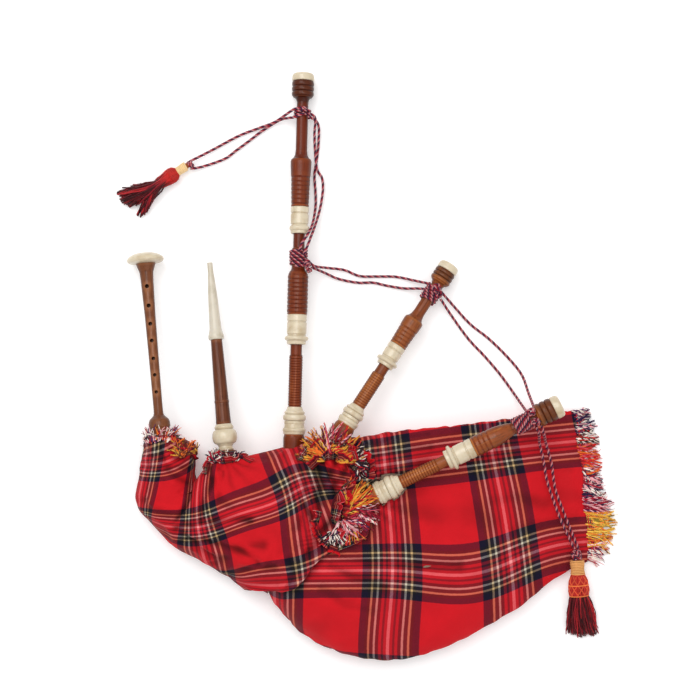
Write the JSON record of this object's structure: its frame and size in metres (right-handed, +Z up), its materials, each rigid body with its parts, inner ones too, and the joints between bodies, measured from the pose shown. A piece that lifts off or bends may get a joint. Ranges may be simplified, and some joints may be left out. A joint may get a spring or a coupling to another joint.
{
  "type": "bagpipes",
  "caption": "Junior Highland bagpipes laid flat: tartan-covered bag, bass and tenor drones that slide to tune, blowpipe with valve, chanter, cords and tassels.",
  "frame": {"origin": "centre of the bag's flat resting face, on the table", "axes": "+Y along the bass drone towards its bell, +X towards the rear of the bag, +Z up from the table"},
  "size_m": [0.6338, 0.7517, 0.1106],
  "materials": {
    "tartan_cloth": "brushed red tartan wool twill",
    "yarn_fringe": "twisted yarn fringe in tartan colours",
    "bladder": "matte airtight liner",
    "rosewood": "varnished reddish-brown turned wood",
    "imitation_ivory": "polished cream imitation ivory",
    "mouthpiece_plastic": "satin cream plastic",
    "hemp": "waxed yellow hemp thread",
    "cane": "natural cane",
    "brass_staple": "drawn brass",
    "valve_leather": "thin valve leather",
    "silk_cord": "three-ply twisted silk cord, crimson, navy and white",
    "tassel_silk": "maroon and red silk strands"
  },
  "bodies": {
    "bag": {"bag_bladder": "bladder", "bag_cover": "tartan_cloth", "rear_fringe": "yarn_fringe", "tenor_1_collar_fringe": "yarn_fringe", "tenor_2_collar_fringe": "yarn_fringe", "neck_frill": "tartan_cloth", "blowpipe_frill": "tartan_cloth", "bass_stock": "rosewood", "tenor_1_stock": "rosewood", "tenor_2_stock": "rosewood", "blowpipe_stock": "rosewood", "chanter_stock": "rosewood", "stock_ferrules": "imitation_ivory", "stock_tie_in_bindings": "hemp", "bass_bottom_joint": "rosewood", "bass_projecting_mount": "imitation_ivory", "tenor_1_bottom_joint": "rosewood", "tenor_1_projecting_mount": "imitation_ivory", "tenor_2_bottom_joint": "rosewood", "tenor_2_projecting_mount": "imitation_ivory", "drone_hemp_lappings": "hemp", "drone_reed_bodies": "cane", "drone_reed_tongues": "cane", "drone_reed_bridles": "hemp", "cord_bass_to_tenor_1": "silk_cord", "cord_tenor_1_to_tenor_2": "silk_cord", "right_tassel_cord": "silk_cord"},
    "bass_middle": {"bass_middle_joint": "rosewood", "bass_middle_ferrule": "imitation_ivory", "bass_middle_hemp": "hemp", "bass_cord_wrap": "silk_cord"},
    "bass_top": {"bass_top_joint": "rosewood", "bass_top_ferrule": "imitation_ivory", "bass_bell_cap": "imitation_ivory", "left_tassel_cord": "silk_cord", "cord_bass_run": "silk_cord"},
    "tenor_1_top": {"tenor_1_top_joint": "rosewood", "tenor_1_ferrule": "imitation_ivory", "tenor_1_bell_cap": "imitation_ivory", "tenor_1_cord_wrap": "silk_cord"},
    "tenor_2_top": {"tenor_2_top_joint": "rosewood", "tenor_2_ferrule": "imitation_ivory", "tenor_2_bell_cap": "imitation_ivory", "tenor_2_cord_wrap": "silk_cord"},
    "blowpipe": {"blowpipe_tube": "rosewood", "blowpipe_mount": "imitation_ivory", "blowpipe_hemp": "hemp", "valve_seat": "brass_staple"},
    "valve_flap_body": {"valve_flap": "valve_leather"},
    "mouthpiece_body": {"mouthpiece": "mouthpiece_plastic"},
    "chanter": {"chanter_pipe": "rosewood", "chanter_sole": "imitation_ivory", "chanter_hemp": "hemp", "chanter_reed": "cane"},
    "left_tassel": {"left_tassel_head": "tassel_silk", "left_tassel_skirt": "tassel_silk"},
    "right_tassel": {"right_tassel_head": "tassel_silk", "right_tassel_skirt": "tassel_silk"}
  },
  "joints": [
    {"name": "bass_lower_tune", "type": "slide", "parent": "bag", "child": "bass_middle", "axis": [0.0244, 0.9984, -0.0515], "range_m": [-0.012, 0.015], "deforming": ["cord_bass_run", "cord_bass_to_tenor_1"]},
    {"name": "bass_upper_tune", "type": "slide", "parent": "bass_middle", "child": "bass_top", "axis": [0.0244, 0.9984, -0.0515], "range_m": [-0.012, 0.015]},
    {"name": "tenor_1_tune", "type": "slide", "parent": "bag", "child": "tenor_1_top", "axis": [0.5443, 0.8323, -0.105], "range_m": [-0.01, 0.015], "deforming": ["cord_tenor_1_to_tenor_2"]},
    {"name": "tenor_2_tune", "type": "slide", "parent": "bag", "child": "tenor_2_top", "axis": [0.8975, 0.4383, 0.0484], "range_m": [-0.01, 0.015], "deforming": ["right_tassel_cord"]},
    {"name": "blowpipe_turn", "type": "hinge", "parent": "bag", "child": "blowpipe", "pos_m": [-0.2621, 0.1196, 0.044], "axis": [-0.0928, 0.9908, -0.0985], "continuous": true},
    {"name": "valve_flap_swing", "type": "hinge", "parent": "blowpipe", "child": "valve_flap_body", "pos_m": [-0.25877, 0.08397, 0.05407], "axis": [-0.9956, -0.0932, 0], "range_deg": [0, 35]},
    {"name": "mouthpiece_turn", "type": "hinge", "parent": "blowpipe", "child": "mouthpiece_body", "pos_m": [-0.27527, 0.26029, 0.03001], "axis": [-0.0928, 0.9908, -0.0985], "continuous": true},
    {"name": "chanter_turn", "type": "hinge", "parent": "bag", "child": "chanter", "pos_m": [-0.3465, 0.1475, 0.042], "axis": [-0.0948, 0.9923, -0.0793], "continuous": true},
    {"name": "left_tassel_swing", "type": "hinge", "parent": "bass_top", "child": "left_tassel", "pos_m": [-0.313, 0.4868, 0.0115], "axis": [0, 0, 1], "range_deg": [-30, 30]},
    {"name": "right_tassel_swing", "type": "hinge", "parent": "bag", "child": "right_tassel", "pos_m": [0.1884, -0.016, 0.0174], "axis": [0, 0, 1], "range_deg": [-20, 20]}
  ]
}
